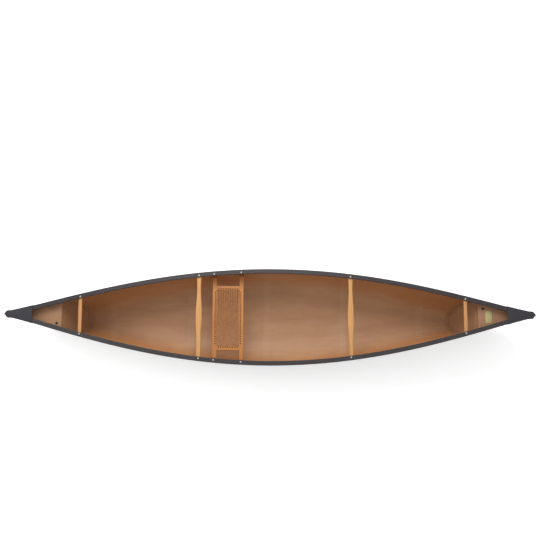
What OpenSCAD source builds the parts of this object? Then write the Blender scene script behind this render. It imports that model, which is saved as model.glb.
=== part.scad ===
// Solo canoe with a caned seat, two thwarts, carry handles, moulded decks and float tanks.
// Bow towards +X, port towards +Y, up is +Z. The origin is on the keel line amidships.

/* [Hull] */
// Length over the stems
length_over_stems = 4880; // [4400:10:5300]
// Beam over the outside of the gunwales
beam = 910; // [820:5:980]
// Height of the gunwale top above the keel amidships
centre_depth = 400; // [360:5:440]
// How much higher the gunwales are at the ends than amidships
sheer_rise = 203; // [170:1:245]
// Rise of the keel line from amidships to the stems
rocker = 57; // [40:1:68]
// How far the sides swell out past the rim amidships
tumblehome = 8; // [4:0.5:12]
// Thickness of the hull laminate
wall = 6; // [5:0.25:7]

/* [Gunwales and decks] */
// Width of the gunwale top
gunwale_w = 43; // [40:0.5:50]
// Depth of the gunwale outer leg
gunwale_leg = 30; // [27:0.5:36]
// Distance of the deck inner edge from the stem
deck_reach = 274; // [250:2:320]
// Depth of the deck skirt
deck_skirt = 41; // [36:1:46]
// Distance between rivets along the gunwale
rivet_pitch = 250; // [200:5:300]

/* [Fittings] */
// Width of the thwarts at the middle
thwart_w = 57; // [48:1:66]
// Thickness of the thwarts
thwart_t = 19; // [16:1:24]
// Width of the carry handles
handle_w = 33; // [30:1:40]
// Depth of the seat below the gunwale top
seat_drop = 100; // [85:1:115]
// Distance between the seat rail centres
seat_rail_gap = 255; // [230:1:280]
// Length of the seat frame across the boat, over its cross rails
seat_frame_w = 614; // [520:2:680]
// Width of a seat rail
seat_rail_w = 38; // [34:0.5:42]
// Thickness of the seat rails
seat_rail_t = 20; // [17:0.5:24]
// Diameter of the fitting bolts
bolt_d = 6; // [5:0.25:7]
// Distance of a float tank knee from the stem
tank_reach = 500; // [470:2:540]
// Depth of the float tank lid below the gunwale top at its knee
tank_lid_drop = 66; // [55:1:80]
// Diameter of the vent plug stem
plug_d = 14; // [12:0.5:18]

/* [Hidden] */

// Running gap between pieces that only touch
gap = 0.3;

// Hull lines
half_len = length_over_stems / 2;
tip_back = 62;                       // the sheer tip stands this far behind the stem
tip_x = half_len - tip_back;
stem_a = 560;                        // length of the forefoot curve
stem_h = 315;                        // its height above the keel line
stem_n = 2.5;                        // its squareness
gunwale_tip = 26;                    // half breadth of the gunwales at the very tip
plan_power = 1.16;
sheer_power = 1.92;
mid_n = 2.8;                         // section squareness amidships
end_n = 1.5;                         // and at the ends
forefoot_x = half_len - stem_a;
turn_u = 0.72;                       // station where the forefoot starts
bulge_u = 0.90;                      // station where the stem stands furthest forward
nose_u = 0.98;                       // station where the nose starts to close
last_u = 0.997;                      // last station that is cut, just short of the nose
stem_inset = 24;                     // thickness of the stem inside
side_steps = 9;                      // steps of a half section, keel to rim

// Places along the boat, from amidships
bow_thwart_x = 755;
stern_thwart_x = -666;
bow_handle_x = half_len - 640;
stern_handle_x = 690 - half_len;
seat_x = -399.5;
plate_x = half_len - 420;

// Length of a cutter that goes right through a part
through = 200;
// Room left between a wooden part and the hull wall
hull_clear = 3;

// Gunwale section, measured inboard from its outer edge and down from its top
wall_out = 11;                       // outer face of the hull wall
skin = 3;
top_t = 4;
lip_d = 14;                          // depth of the inner lips
bolt_in = 28;                        // bolt line
rim_drop = top_t + gap;              // hull rim below the gunwale top

function lerp(a, b, t) = a + (b - a) * t;
function sheer_z(x) = centre_depth + sheer_rise * pow(abs(x) / tip_x, sheer_power);
function sheer_slope(x) = atan(sheer_rise * sheer_power * pow(abs(x) / tip_x, sheer_power - 1) / tip_x) * sign(x);
function plan(x, mid, tip) = tip + (mid - tip) * pow(max(0, 1 - pow(x / tip_x, 2)), plan_power);
function gunwale_y(x) = plan(x, beam / 2, gunwale_tip);
function gunwale_turn(x) = atan((gunwale_y(x + 5) - gunwale_y(x - 5)) / 10);
function keel_z(x) = rocker * pow(x / half_len, 2);
function section_n(x) = end_n + (mid_n - end_n) * pow(max(0, 1 - pow(x / tip_x, 2)), 0.8);

// A skin of the hull is the outside moved outwards by d, or inwards where d is negative
function stem_move(d) = d < 0 ? d * stem_inset / wall : d;
function keel_point(u, d) =
    let (move = stem_move(d), reach = stem_a + move, high = sheer_z(tip_x) - rim_drop)
    u <= turn_u
        ? let (x = forefoot_x * u / turn_u) [x, keel_z(x) - d]
        : u <= bulge_u
            ? let (a = 90 * (u - turn_u) / (bulge_u - turn_u), x = forefoot_x + reach * pow(sin(a), 2 / stem_n))
                [x, keel_z(x) - d + (stem_h + d) * (1 - pow(cos(a), 2 / stem_n))]
            : let (t = (u - bulge_u) / (1 - bulge_u), low = keel_z(half_len + move) + stem_h)
                [half_len + move - tip_back * t * t, lerp(low, high, t)];
function rim_point(u, d) =
    let (end = tip_x + stem_move(d), t = (u - turn_u) / (1 - turn_u),
        x = u <= turn_u ? forefoot_x * u / turn_u : lerp(forefoot_x, end, t))
    [x, sheer_z(x) - rim_drop];
function nose_close(u) = u <= nose_u ? 1 : sqrt(1 - pow((u - nose_u) / (1 - nose_u), 2));
function half_breadth(x, h, u, d) =
    let (n = section_n(x), full = plan(x, beam / 2 - wall_out + d, gunwale_tip - wall_out + 3 + d * 0.8))
    nose_close(u) * (full * pow(1 - pow(1 - h, n), 1 / n)
        + tumblehome * max(0, 1 - pow(x / tip_x, 2)) * sin(180 * h));
// Point on a skin at station u, step j of the half section, side +1 port or -1 starboard
function skin_point(u, j, side, d, steps = side_steps) =
    let (v = abs(u), k = keel_point(v, d), r = rim_point(v, d),
        h = 1 - pow(cos(90 * j / steps), 2 / section_n(k[0])), x = lerp(k[0], r[0], h))
    [x * (u < 0 ? -1 : 1), side * half_breadth(x, h, v, d), lerp(k[1], r[1], h)];
// Station of the slanting section that passes through a point of the side view
function ahead(x, z, u, d) =
    let (k = keel_point(u, d), r = rim_point(u, d))
    (r[0] - k[0]) * (z - k[1]) - (r[1] - k[1]) * (x - k[0]) < 0;
function station(x, z, d, lo = 0, hi = 1, tries = 22) =
    let (mid = (lo + hi) / 2)
    tries == 0 ? mid : ahead(x, z, mid, d)
        ? station(x, z, d, mid, hi, tries - 1)
        : station(x, z, d, lo, mid, tries - 1);
function breadth_at(x, z, d) =
    let (u = station(abs(x), z, d), k = keel_point(u, d), r = rim_point(u, d),
        h = max(0, min(1, (z - k[1]) / (r[1] - k[1]))))
    half_breadth(abs(x), h, u, d);

half_stations = concat([for (i = [0:13]) turn_u * i / 14],
    [for (i = [0:6]) turn_u + (bulge_u - turn_u) * i / 7],
    [bulge_u, 0.93, 0.96, nose_u, 0.99, last_u]);
stations = concat([for (i = [len(half_stations) - 1:-1:1]) -half_stations[i]], half_stations);

// Closed solid from a run of rings with the same number of points
module ring_solid(rings) {
    n = len(rings[0]);
    m = len(rings);
    points = [for (r = rings) for (p = r) p];
    sides = [for (i = [0:m - 2]) for (j = [0:n - 1])
        for (f = [[i * n + j, i * n + (j + 1) % n, (i + 1) * n + (j + 1) % n],
                  [i * n + j, (i + 1) * n + (j + 1) % n, (i + 1) * n + j]]) f];
    caps = [[for (j = [n - 1:-1:0]) j], [for (j = [0:n - 1]) (m - 1) * n + j]];
    polyhedron(points, concat(sides, caps), convexity = 10);
}

// A shell between two skins, d_out and d_in, over a run of stations and a strip of the section
module skin_shell(run, steps, d_out, d_in, closed) {
    across = [for (k = [-steps:steps]) k];
    w = len(across);
    inner = len(run) * w;
    last = (len(run) - 1) * w;
    points = [for (d = [d_out, d_in]) for (u = run) for (k = across) skin_point(u, abs(k), k < 0 ? -1 : 1, d)];
    outer_faces = [for (i = [0:len(run) - 2]) for (j = [0:w - 2])
        for (f = [[i * w + j, (i + 1) * w + j, (i + 1) * w + j + 1],
                  [i * w + j, (i + 1) * w + j + 1, i * w + j + 1]]) f];
    inner_faces = [for (f = outer_faces) [f[0] + inner, f[2] + inner, f[1] + inner]];
    edge_faces = [for (i = [0:len(run) - 2])
        for (f = [[i * w, i * w + inner, (i + 1) * w + inner], [i * w, (i + 1) * w + inner, (i + 1) * w],
                  [i * w + w - 1, (i + 1) * w + w - 1 + inner, i * w + w - 1 + inner],
                  [i * w + w - 1, (i + 1) * w + w - 1, (i + 1) * w + w - 1 + inner]]) f];
    // A closed end is two small faces across the nose, and a strip between them at the rim
    ladder = [for (k = [0:steps - 1]) for (f = k == steps - 1 ? [[k, k + 1, k + 2]]
        : [[k, k + 1, w - 2 - k], [k, w - 2 - k, w - 1 - k]]) f];
    stern_end = concat(ladder, [for (f = ladder) [f[0] + inner, f[2] + inner, f[1] + inner]],
        [[0, w - 1, inner + w - 1], [0, inner + w - 1, inner]]);
    open_end = [for (k = [0:w - 2]) for (f = [[k, k + 1, inner + k + 1], [k, inner + k + 1, inner + k]]) f];
    first_faces = closed ? stern_end : open_end;
    last_faces = [for (f = first_faces) [f[0] + last, f[2] + last, f[1] + last]];
    polyhedron(points, concat(outer_faces, inner_faces, edge_faces, first_faces, last_faces), convexity = 10);
}

// Rivets along the gunwale
rivet_d = 4.8;
rivet_head_d = 9.5;
rivet_down = 20.5;
rivet_count = floor((half_len - deck_reach - 12) / rivet_pitch + 0.5);
rivet_xs = [for (i = [-rivet_count:rivet_count - 1]) (i + 0.5) * rivet_pitch];
module at_gunwale_side(x, side, down = rivet_down)
    translate([x, side * gunwale_y(x), sheer_z(x) - down])
        rotate([0, 0, side * gunwale_turn(x)]) rotate([side * 90, 0, 0]) children();
module gunwale_rivet(reach) {
    translate([0, 0, -1.7]) cylinder(d1 = rivet_head_d - 3, d2 = rivet_head_d, h = 1.4, $fn = 32);
    translate([0, 0, -0.4]) cylinder(d = rivet_d, h = reach + 0.8, $fn = 24);
    translate([0, 0, reach]) cylinder(d1 = rivet_d + 3.2, d2 = rivet_d + 1, h = 3, $fn = 24);
}
hull_grip = wall_out + wall + gap + 1.2;   // head to tail through the hull wall
deck_cover = skin + gap;
deck_grip = deck_cover + skin + gap;       // head to tail through the deck and the gunwale leg

loop_d = 5.5;
loop_bore = loop_d + 2 * gap;
loop_tube_d = loop_bore + 2.6;
loop_x = half_len - 66;
loop_z = sheer_z(loop_x) - deck_skirt - 22;

module hull() color([0.32, 0.29, 0.27]) difference() {
    skin_shell(stations, side_steps, 0, -wall, true);
    for (side = [-1, 1]) for (x = rivet_xs)
        at_gunwale_side(x, side) cylinder(d = rivet_d + 2 * gap, h = 40, $fn = 24);
    for (end = [-1, 1])
        translate([end * loop_x, 0, loop_z]) rotate([90, 0, 0])
            cylinder(d = loop_tube_d + 2 * gap, h = through, center = true, $fn = 32);
}

// Gunwales: a capped channel swept along the sheer
gunwale_end = tip_x - 2.14 * gunwale_w; // the two gunwales stop before they would meet
gunwale_steps = 36;
leg_turn = 4;                        // the turned-in foot of the leg stops this far from the wall
gunwale_profile = [[0, -gunwale_leg + 2], [0, -5], [1.5, -1.5], [5, 0], [gunwale_w - 5, 0],
    [gunwale_w - 1.5, -1.5], [gunwale_w, -5], [gunwale_w, -lip_d], [gunwale_w - 2.5, -lip_d],
    [gunwale_w - 2.5, -top_t], [wall_out + wall + 3.5, -top_t], [wall_out + wall + 3.5, -lip_d],
    [wall_out + wall + 0.8, -lip_d], [wall_out + wall + 0.8, -top_t], [skin, -top_t],
    [skin, -gunwale_leg + skin], [wall_out - leg_turn, -gunwale_leg + skin],
    [wall_out - leg_turn, -gunwale_leg], [2, -gunwale_leg]];
module gunwale_bar(side) {
    xs = [for (i = [0:gunwale_steps]) gunwale_end * (2 * i / gunwale_steps - 1)];
    rings = [for (x = xs) [for (p = gunwale_profile)
        [x, side * (gunwale_y(x) - p[0]), sheer_z(x) + p[1]]]];
    ring_solid(side > 0 ? rings : [for (r = rings) [for (i = [len(r) - 1:-1:0]) r[i]]]);
}
bolt_xs = [stern_handle_x, stern_thwart_x, seat_x - seat_rail_gap / 2, seat_x + seat_rail_gap / 2,
    bow_thwart_x, bow_handle_x];
deck_rivet_xs = [tip_x - 104, tip_x - 196];
module gunwale(side) color([0.28, 0.26, 0.27]) difference() {
    gunwale_bar(side);
    for (x = bolt_xs)
        translate([x, side * (gunwale_y(x) - bolt_in), sheer_z(x) - 20])
            cylinder(d = bolt_d + 2 * gap, h = 40, $fn = 24);
    for (x = rivet_xs)
        at_gunwale_side(x, side) translate([0, 0, -6]) cylinder(d = rivet_d + 2 * gap, h = 15, $fn = 24);
    for (end = [-1, 1]) for (x = deck_rivet_xs)
        at_gunwale_side(end * x, side) translate([0, 0, -6]) cylinder(d = rivet_d + 2 * gap, h = 15, $fn = 24);
}
module port_gunwale() gunwale(1);
module starboard_gunwale() gunwale(-1);
module side_rivets(side) color([0.75, 0.74, 0.72])
    for (x = rivet_xs) at_gunwale_side(x, side) gunwale_rivet(hull_grip);

module port_gunwale_rivets() side_rivets(1);
module starboard_gunwale_rivets() side_rivets(-1);

// Decks: a moulded cap over each end
deck_x = half_len - deck_reach;
deck_nose_x = tip_x + 24;
deck_nose_r = 34;
deck_lean = 1.2;                     // the tilted skirt stands this much further out at the rivets
deck_slope = atan((sheer_z(deck_nose_x) - sheer_z(deck_x)) / (deck_nose_x - deck_x));
deck_len = (deck_nose_x - deck_x) / cos(deck_slope);
function deck_y(x, inset) =
    let (nose = deck_nose_r - inset, c = deck_nose_x - deck_nose_r)
    x <= c ? max(gunwale_y(x) + deck_cover + gap - inset, nose)
        : sqrt(max(0, nose * nose - pow(x - c, 2)));
deck_xs = concat([for (i = [0:8]) lerp(deck_x, deck_nose_x - deck_nose_r, i / 8)],
    [for (a = [15:15:90]) deck_nose_x - deck_nose_r + deck_nose_r * sin(a)]);
function deck_outline(inset) =
    let (c = deck_nose_x - deck_nose_r,
        half = [for (x = deck_xs) let (y = deck_y(x <= c ? x : c + (x - c) * (deck_nose_r - inset) / deck_nose_r, inset))
            [((x <= c ? x : c + (x - c) * (deck_nose_r - inset) / deck_nose_r) - deck_x) / cos(deck_slope), y]])
    concat(half, [for (i = [len(half) - 2:-1:0]) [half[i][0], -half[i][1]]]);
module deck_frame() translate([deck_x, 0, sheer_z(deck_x)]) rotate([0, -deck_slope, 0]) children();
module deck_cap() color([0.30, 0.30, 0.33]) difference() {
    deck_frame() difference() {
        union() {
            difference() {
                translate([0, 0, -deck_skirt]) linear_extrude(deck_skirt + deck_cover) polygon(deck_outline(0));
                translate([0, 0, -deck_skirt - 1]) linear_extrude(deck_skirt + 1 + gap)
                    polygon(concat([[-1, deck_y(deck_x, skin)], [-1, -deck_y(deck_x, skin)]],
                        [for (i = [len(deck_outline(skin)) - 1:-1:0]) deck_outline(skin)[i]]));
            }
            translate([0, -lip_half, -lip_h]) cube([skin, 2 * lip_half, lip_h + 1]);
        }
    }
    for (side = [-1, 1]) for (x = deck_rivet_xs)
        at_gunwale_side(x, side) translate([0, 0, -8]) cylinder(d = rivet_d + 2 * gap, h = 12, $fn = 24);
}
lip_half = gunwale_y(deck_x) - gunwale_w - 2;
lip_h = 16;
module at_stern() rotate([0, 0, 180]) children();
module bow_deck() deck_cap();
module stern_deck() at_stern() deck_cap();
module deck_rivets() color([0.75, 0.74, 0.72])
    for (side = [-1, 1]) for (x = deck_rivet_xs)
        at_gunwale_side(x, side) translate([0, 0, -deck_cover - gap - deck_lean])
            gunwale_rivet(deck_grip + 2 * gap + deck_lean);

module bow_deck_rivets() deck_rivets();
module stern_deck_rivets() at_stern() deck_rivets();

// Float tanks: a lid and a raked bulkhead in one moulding
tank_knee_x = half_len - tank_reach;
tank_end_x = tip_x - 75;
tank_t = 4;
tank_rake = 19;
tank_lift = 6;                       // slope of the lid up towards the stem
tank_knee_r = 14;
tank_edge = 6.5;                      // gap for the bonding bead
tank_knee_z = sheer_z(tank_knee_x) - tank_lid_drop;
function tank_floor_x(z) = tank_knee_x - tank_knee_r - (tank_knee_z - tank_knee_r - z) * tan(tank_rake);
tank_foot_z = keel_z(tank_knee_x - 150) + wall + tank_edge;
tank_path = concat(
    [for (i = [5:-1:0]) let (x = lerp(tank_knee_x, tank_end_x, i / 5))
        [x, tank_knee_z + (x - tank_knee_x) * tan(tank_lift)]],
    [for (a = [60, 30]) [tank_knee_x - tank_knee_r * cos(a), tank_knee_z - tank_knee_r * (1 - sin(a))]],
    [for (t = [0, 0.15, 0.3, 0.45, 0.6, 0.72, 0.82, 0.9, 0.95, 0.98, 1])
        let (z = lerp(tank_knee_z - tank_knee_r, tank_foot_z, t)) [tank_floor_x(z), z]]);
// The under face: each path point moved square to the sheet, into the tank
function tank_under(i) =
    let (a = tank_path[max(0, i - 1)], b = tank_path[min(len(tank_path) - 1, i + 1)],
        d = (b - a) / norm(b - a))
    tank_path[i] + tank_t * [-d[1], d[0]];
function tank_ring(i) =
    let (p = tank_path[i], q = tank_under(i),
        w = min(breadth_at(p[0], p[1], -wall), breadth_at(q[0], q[1], -wall)) - tank_edge)
    [[p[0], w, p[1]], [q[0], w, q[1]], [q[0], -w, q[1]], [p[0], -w, p[1]]];
plug_x = half_len - 470;
plug_y = 71;
function lid_z(x) = tank_knee_z + (x - tank_knee_x) * tan(tank_lift);
module tank() color([0.72, 0.56, 0.42]) difference() {
    ring_solid([for (i = [0:len(tank_path) - 1]) tank_ring(i)]);
    translate([plug_x, plug_y, lid_z(plug_x)]) rotate([0, -tank_lift, 0])
        cylinder(d = plug_d + 2 * gap, h = 40, center = true, $fn = 32);
}
module bow_tank() tank();
module stern_tank() at_stern() tank();
plug_head_d = plug_d + 9;
module vent_plug() color([0.06, 0.06, 0.07])
    translate([plug_x, plug_y, lid_z(plug_x)]) rotate([0, -tank_lift, 0]) difference() {
        union() {
            translate([0, 0, gap]) cylinder(d = plug_head_d, h = 4, $fn = 40);
            translate([0, 0, gap + 4]) cylinder(d1 = plug_head_d - 7, d2 = plug_head_d - 9, h = 4, $fn = 40);
            translate([0, 0, -12]) cylinder(d = plug_d, h = 14, $fn = 32);
        }
        translate([0, 0, -13]) cylinder(d = plug_d - 5, h = 12, $fn = 32);
    }
module bow_vent_plug() vent_plug();
module stern_vent_plug() at_stern() vent_plug();

// Blank plate on the bow tank lid
plate_w = 58;
plate_l = 117;
plate_cut = 18;
plate_y = -5;
module blank_plate() color([0.80, 0.80, 0.60])
    translate([plate_x, plate_y, lid_z(plate_x)]) rotate([0, -tank_lift, 0]) translate([0, 0, gap])
        linear_extrude(1.2) polygon([for (s = [[1, 1], [-1, 1], [-1, -1], [1, -1]])
            for (c = s[0] * s[1] > 0 ? [0, 1] : [1, 0])
                [s[0] * (plate_w / 2 - plate_cut * c), s[1] * (plate_l / 2 - plate_cut * (1 - c))]]);

// Thwarts and handles hang under the gunwale lips
bar_clear = wall_out + wall + 2.6;   // how far the bar ends stop from the gunwale edge
module at_sheer(x) translate([x, 0, sheer_z(x)]) rotate([0, -sheer_slope(x), 0]) children();
bar_steps = 10;
bar_waist_at = 0.7;                  // where a bar is narrowest, as a share of its half length
module cross_bar(x, mid_w, waist_w, end_w, t) {
    ends = gunwale_y(x) - bar_clear;
    function bar_half(s) = (s < bar_waist_at
        ? lerp(mid_w, waist_w, pow(sin(90 * s / bar_waist_at), 2))
        : lerp(waist_w, end_w, pow(sin(90 * (s - bar_waist_at) / (1 - bar_waist_at)), 2))) / 2;
    function trim(dx) = gunwale_y(x + dx) - gunwale_y(x);
    edge = [for (i = [0:bar_steps]) let (s = i / bar_steps) [bar_half(s), s * ends]];
    right = [for (i = [0:bar_steps]) [edge[i][0], edge[i][1] + (i == bar_steps ? trim(edge[i][0]) : 0)]];
    left = [for (i = [0:bar_steps]) [-edge[i][0], edge[i][1] + (i == bar_steps ? trim(-edge[i][0]) : 0)]];
    outline = concat([for (i = [bar_steps:-1:1]) [right[i][0], -right[i][1]]], right,
        [for (i = [bar_steps:-1:0]) left[i]], [for (i = [1:bar_steps]) [left[i][0], -left[i][1]]]);
    difference() {
        at_sheer(x) translate([0, 0, -lip_d - gap - t]) linear_extrude(t) polygon(outline);
        for (side = [-1, 1]) bolt_place(x, side)
            cylinder(d = bolt_d + 2 * gap, h = through, center = true, $fn = 24);
    }
}
module bolt_place(x, side)
    translate([x, side * (gunwale_y(x) - bolt_in), sheer_z(x)]) rotate([0, -sheer_slope(x), 0]) children();
thwart_waist_w = 35;
thwart_end_w = 42;
handle_t = 20;
handle_waist_w = 31;
handle_end_w = 32;
module bow_thwart() color([0.85, 0.68, 0.45]) cross_bar(bow_thwart_x, thwart_w, thwart_waist_w, thwart_end_w, thwart_t);
module stern_thwart() color([0.85, 0.68, 0.45]) cross_bar(stern_thwart_x, thwart_w, thwart_waist_w, thwart_end_w, thwart_t);
module bow_handle() color([0.85, 0.65, 0.42]) cross_bar(bow_handle_x, handle_w, handle_waist_w, handle_end_w, handle_t);
module stern_handle() color([0.85, 0.65, 0.42]) cross_bar(stern_handle_x, handle_w, handle_waist_w, handle_end_w, handle_t);

// Bolts stand on a cup washer on the gunwale top and take a washer and nut below
cup_d = 17;
cup_h = 2;
nut_h = 5;
nut_w = 10;
flat_d = 14;
flat_t = 1.4;
module fitting_bolt(reach) {
    translate([0, 0, gap + cup_h + gap]) cylinder(d1 = bolt_d + 6, d2 = bolt_d + 2, h = 2.2, $fn = 32);
    translate([0, 0, -reach - 2]) cylinder(d = bolt_d, h = reach + 2 + 2 * gap + cup_h + 1, $fn = 24);
}
module cup_washer() translate([0, 0, gap]) difference() {
    cylinder(d1 = cup_d, d2 = cup_d - 4, h = cup_h, $fn = 32);
    translate([0, 0, -1]) cylinder(d = bolt_d + 2 * gap, h = cup_h + 2, $fn = 24);
}
module flat_washer(down) translate([0, 0, -down - gap - flat_t]) difference() {
    cylinder(d = flat_d, h = flat_t, $fn = 32);
    translate([0, 0, -1]) cylinder(d = bolt_d + 2 * gap, h = flat_t + 2, $fn = 24);
}
module hex_nut(down) translate([0, 0, -down - 2 * gap - flat_t - nut_h]) difference() {
    cylinder(d = nut_w / cos(30), h = nut_h, $fn = 6);
    translate([0, 0, -1]) cylinder(d = bolt_d + gap, h = nut_h + 2, $fn = 24);
}
function bar_under(t) = lip_d + gap + t;
function stack(down) = down + 2 * gap + flat_t + nut_h;
module each_bar_end(xs) for (x = xs) for (side = [-1, 1]) bolt_place(x, side) children();
thwart_xs = [bow_thwart_x, stern_thwart_x];
handle_xs = [bow_handle_x, stern_handle_x];
module thwart_bolts() color([0.80, 0.79, 0.76]) each_bar_end(thwart_xs) fitting_bolt(stack(bar_under(thwart_t)));
module thwart_washers() color([0.82, 0.80, 0.75]) each_bar_end(thwart_xs) {
    cup_washer();
    flat_washer(bar_under(thwart_t));
}
module thwart_nuts() color([0.78, 0.78, 0.78]) each_bar_end(thwart_xs) hex_nut(bar_under(thwart_t));
module handle_bolts() color([0.80, 0.79, 0.76]) each_bar_end(handle_xs) fitting_bolt(stack(bar_under(handle_t)));
module handle_washers() color([0.82, 0.80, 0.75]) each_bar_end(handle_xs) {
    cup_washer();
    flat_washer(bar_under(handle_t));
}
module handle_nuts() color([0.78, 0.78, 0.78]) each_bar_end(handle_xs) hex_nut(bar_under(handle_t));

// Seat: two rails across the boat, two short rails between them, cane over the opening
front_x = seat_x + seat_rail_gap / 2;
rear_x = seat_x - seat_rail_gap / 2;
seat_z = (sheer_z(front_x) + sheer_z(rear_x)) / 2 - seat_drop;
seat_tilt = atan((sheer_z(rear_x) - sheer_z(front_x)) / seat_rail_gap);
cross_rail_w = 41;
cane_margin = 12;                    // hole row from the opening edge
cane_pitch = 22;
cane_hole_d = 7.5;
opening_x = seat_rail_gap - seat_rail_w;
opening_y = seat_frame_w - 2 * cross_rail_w;
dowel_d = 9;
dowel_l = 36;
dowel_step = 10;                     // each dowel stands this far from the joint's middle
rail_past_bolt = 10;
seat_lift = 0.6;                     // the upright seat bolts' cups clear the sloping gunwale top
module seat_space() translate([seat_x, 0, seat_z]) rotate([0, seat_tilt, 0]) children();
function rail_end(x) = min(gunwale_y(x) - bolt_in + rail_past_bolt,
    min([for (dx = [-seat_rail_w / 2, seat_rail_w / 2])
        breadth_at(x + dx, sheer_z(x) - seat_drop - seat_rail_t, -wall)]) - hull_clear);
module long_rail(side_x) {
    x = seat_x + side_x * seat_rail_gap / 2;
    difference() {
        seat_space() translate([side_x * seat_rail_gap / 2, 0, -seat_rail_t])
            linear_extrude(seat_rail_t) square([seat_rail_w, 2 * rail_end(x)], center = true);
        seat_space() translate([side_x * (opening_x / 2 + cane_margin), 0, -seat_rail_t - 1])
            for (y = cane_ys) translate([0, y, 0]) cylinder(d = cane_hole_d, h = seat_rail_t + 2, $fn = 16);
        seat_space() for (s = [-1, 1]) for (k = [-1, 1])
            translate([side_x * opening_x / 2, s * (opening_y + cross_rail_w) / 2 + k * dowel_step, -seat_rail_t / 2])
                rotate([0, 90, 0]) cylinder(d = dowel_d + 2 * gap, h = dowel_l + 2 * gap, center = true, $fn = 24);
        for (side = [-1, 1]) translate([x, side * (gunwale_y(x) - bolt_in), seat_z])
            cylinder(d = bolt_d + 2 * gap, h = through, center = true, $fn = 24);
    }
}
cane_rows = floor((opening_y / 2 - cane_margin) / cane_pitch);
cane_columns = floor((opening_x / 2 - cane_margin) / cane_pitch);
cane_ys = [for (i = [-cane_rows:cane_rows]) i * cane_pitch];
cane_xs = [for (i = [-cane_columns:cane_columns]) i * cane_pitch];
module seat_front_rail() color([0.82, 0.58, 0.36]) long_rail(1);
module seat_rear_rail() color([0.82, 0.58, 0.36]) long_rail(-1);
module short_rail(side) color([0.82, 0.58, 0.36]) seat_space() difference() {
    translate([-opening_x / 2 + gap / 2, side * (opening_y + cross_rail_w) / 2 - cross_rail_w / 2, -seat_rail_t])
        cube([opening_x - gap, cross_rail_w, seat_rail_t]);
    for (x = cane_xs) translate([x, side * (opening_y / 2 + cane_margin), -seat_rail_t - 1])
        cylinder(d = cane_hole_d, h = seat_rail_t + 2, $fn = 16);
    for (s = [-1, 1]) for (k = [-1, 1])
        translate([s * opening_x / 2, side * (opening_y + cross_rail_w) / 2 + k * dowel_step, -seat_rail_t / 2])
            rotate([0, 90, 0]) cylinder(d = dowel_d + 2 * gap, h = dowel_l + 2 * gap, center = true, $fn = 24);
}
module seat_port_rail() short_rail(1);
module seat_starboard_rail() short_rail(-1);
module seat_dowels() color([0.86, 0.70, 0.50]) seat_space()
    for (s = [-1, 1]) for (t = [-1, 1]) for (k = [-1, 1])
        translate([s * opening_x / 2, t * (opening_y + cross_rail_w) / 2 + k * dowel_step, -seat_rail_t / 2])
            rotate([0, 90, 0]) cylinder(d = dowel_d, h = dowel_l, center = true, $fn = 24);
cane_t = 2.4;
cane_lap = cane_margin + 4;
module seat_cane() color([0.80, 0.56, 0.36]) seat_space()
    translate([-opening_x / 2 - cane_lap, -opening_y / 2 - cane_lap, gap])
        cube([opening_x + 2 * cane_lap, opening_y + 2 * cane_lap, cane_t]);

// Drop blocks between the gunwale and the seat rails, trimmed to both slopes
block_w = 42;
block_d = 26;
block_out = 6;
function seat_top_z(x) = seat_z - (x - seat_x) * tan(seat_tilt);
function lip_z(x0, x) = sheer_z(x0) - (lip_d + gap) / cos(sheer_slope(x0)) + (x - x0) * tan(sheer_slope(x0));
module drop_block(x, side) color([0.62, 0.33, 0.14]) {
    outer = min(gunwale_y(x) - bolt_in + block_out,
        min([for (dx = [-block_w / 2, block_w / 2]) for (z = [seat_top_z(x), sheer_z(x) - lip_d])
            breadth_at(x + dx, z, -wall)]) - hull_clear);
    a = x - block_w / 2;
    b = x + block_w / 2;
    difference() {
        translate([0, side > 0 ? outer : block_d - outer, 0]) rotate([90, 0, 0]) linear_extrude(block_d)
            polygon([[a, seat_top_z(a) + gap], [b, seat_top_z(b) + gap], [b, lip_z(x, b)], [a, lip_z(x, a)]]);
        translate([x, side * (gunwale_y(x) - bolt_in), lip_z(x, x)])
            cylinder(d = bolt_d + 2 * gap, h = 2 * through, center = true, $fn = 24);
    }
}
module seat_front_port_block() drop_block(front_x, 1);
module seat_front_starboard_block() drop_block(front_x, -1);
module seat_rear_port_block() drop_block(rear_x, 1);
module seat_rear_starboard_block() drop_block(rear_x, -1);
module each_seat_bolt() for (x = [front_x, rear_x]) for (side = [-1, 1])
    translate([x, side * (gunwale_y(x) - bolt_in), sheer_z(x)]) children();
seat_under = seat_drop + seat_rail_t + 1.5;
module seat_bolts() color([0.80, 0.79, 0.76]) each_seat_bolt() translate([0, 0, seat_lift])
    fitting_bolt(stack(seat_under) + 1);
module seat_washers() color([0.82, 0.80, 0.75]) each_seat_bolt() {
    translate([0, 0, seat_lift]) cup_washer();
    flat_washer(seat_under);
}
module seat_nuts() color([0.78, 0.78, 0.78]) each_seat_bolt() hex_nut(seat_under);

// Grab loops: a cord through a tube in each stem
loop_droop = 30;
loop_route = [[0, 0.3], [0, 8], [0, 16], [2, 21], [6, 25], [12, 27.5], [20, 28], [32, 27], [46, 25], [58, 23.5],
    [68, 22.5], [76, 20.5], [83, 16], [87, 8.5], [88.5, 0]];
loop_path = concat(loop_route, [for (i = [len(loop_route) - 2:-1:0]) [loop_route[i][0], -loop_route[i][1]]]);
loop_sides = 8;
module cord_sweep(path, d) {
    m = len(path);
    ring_solid([for (i = [0:m - 1])
        let (a = path[max(0, i - 1)], b = path[min(m - 1, i + 1)], t = (b - a) / norm(b - a), n = [-t[1], t[0]])
        [for (k = [0:loop_sides - 1]) let (g = 360 * (k + 0.5) / loop_sides)
            [path[i][0] + n[0] * cos(g) * d / 2, path[i][1] + n[1] * cos(g) * d / 2, sin(g) * d / 2]]]);
}
module loop_place() translate([loop_x, 0, loop_z]) rotate([0, loop_droop, 0]) children();
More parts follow.
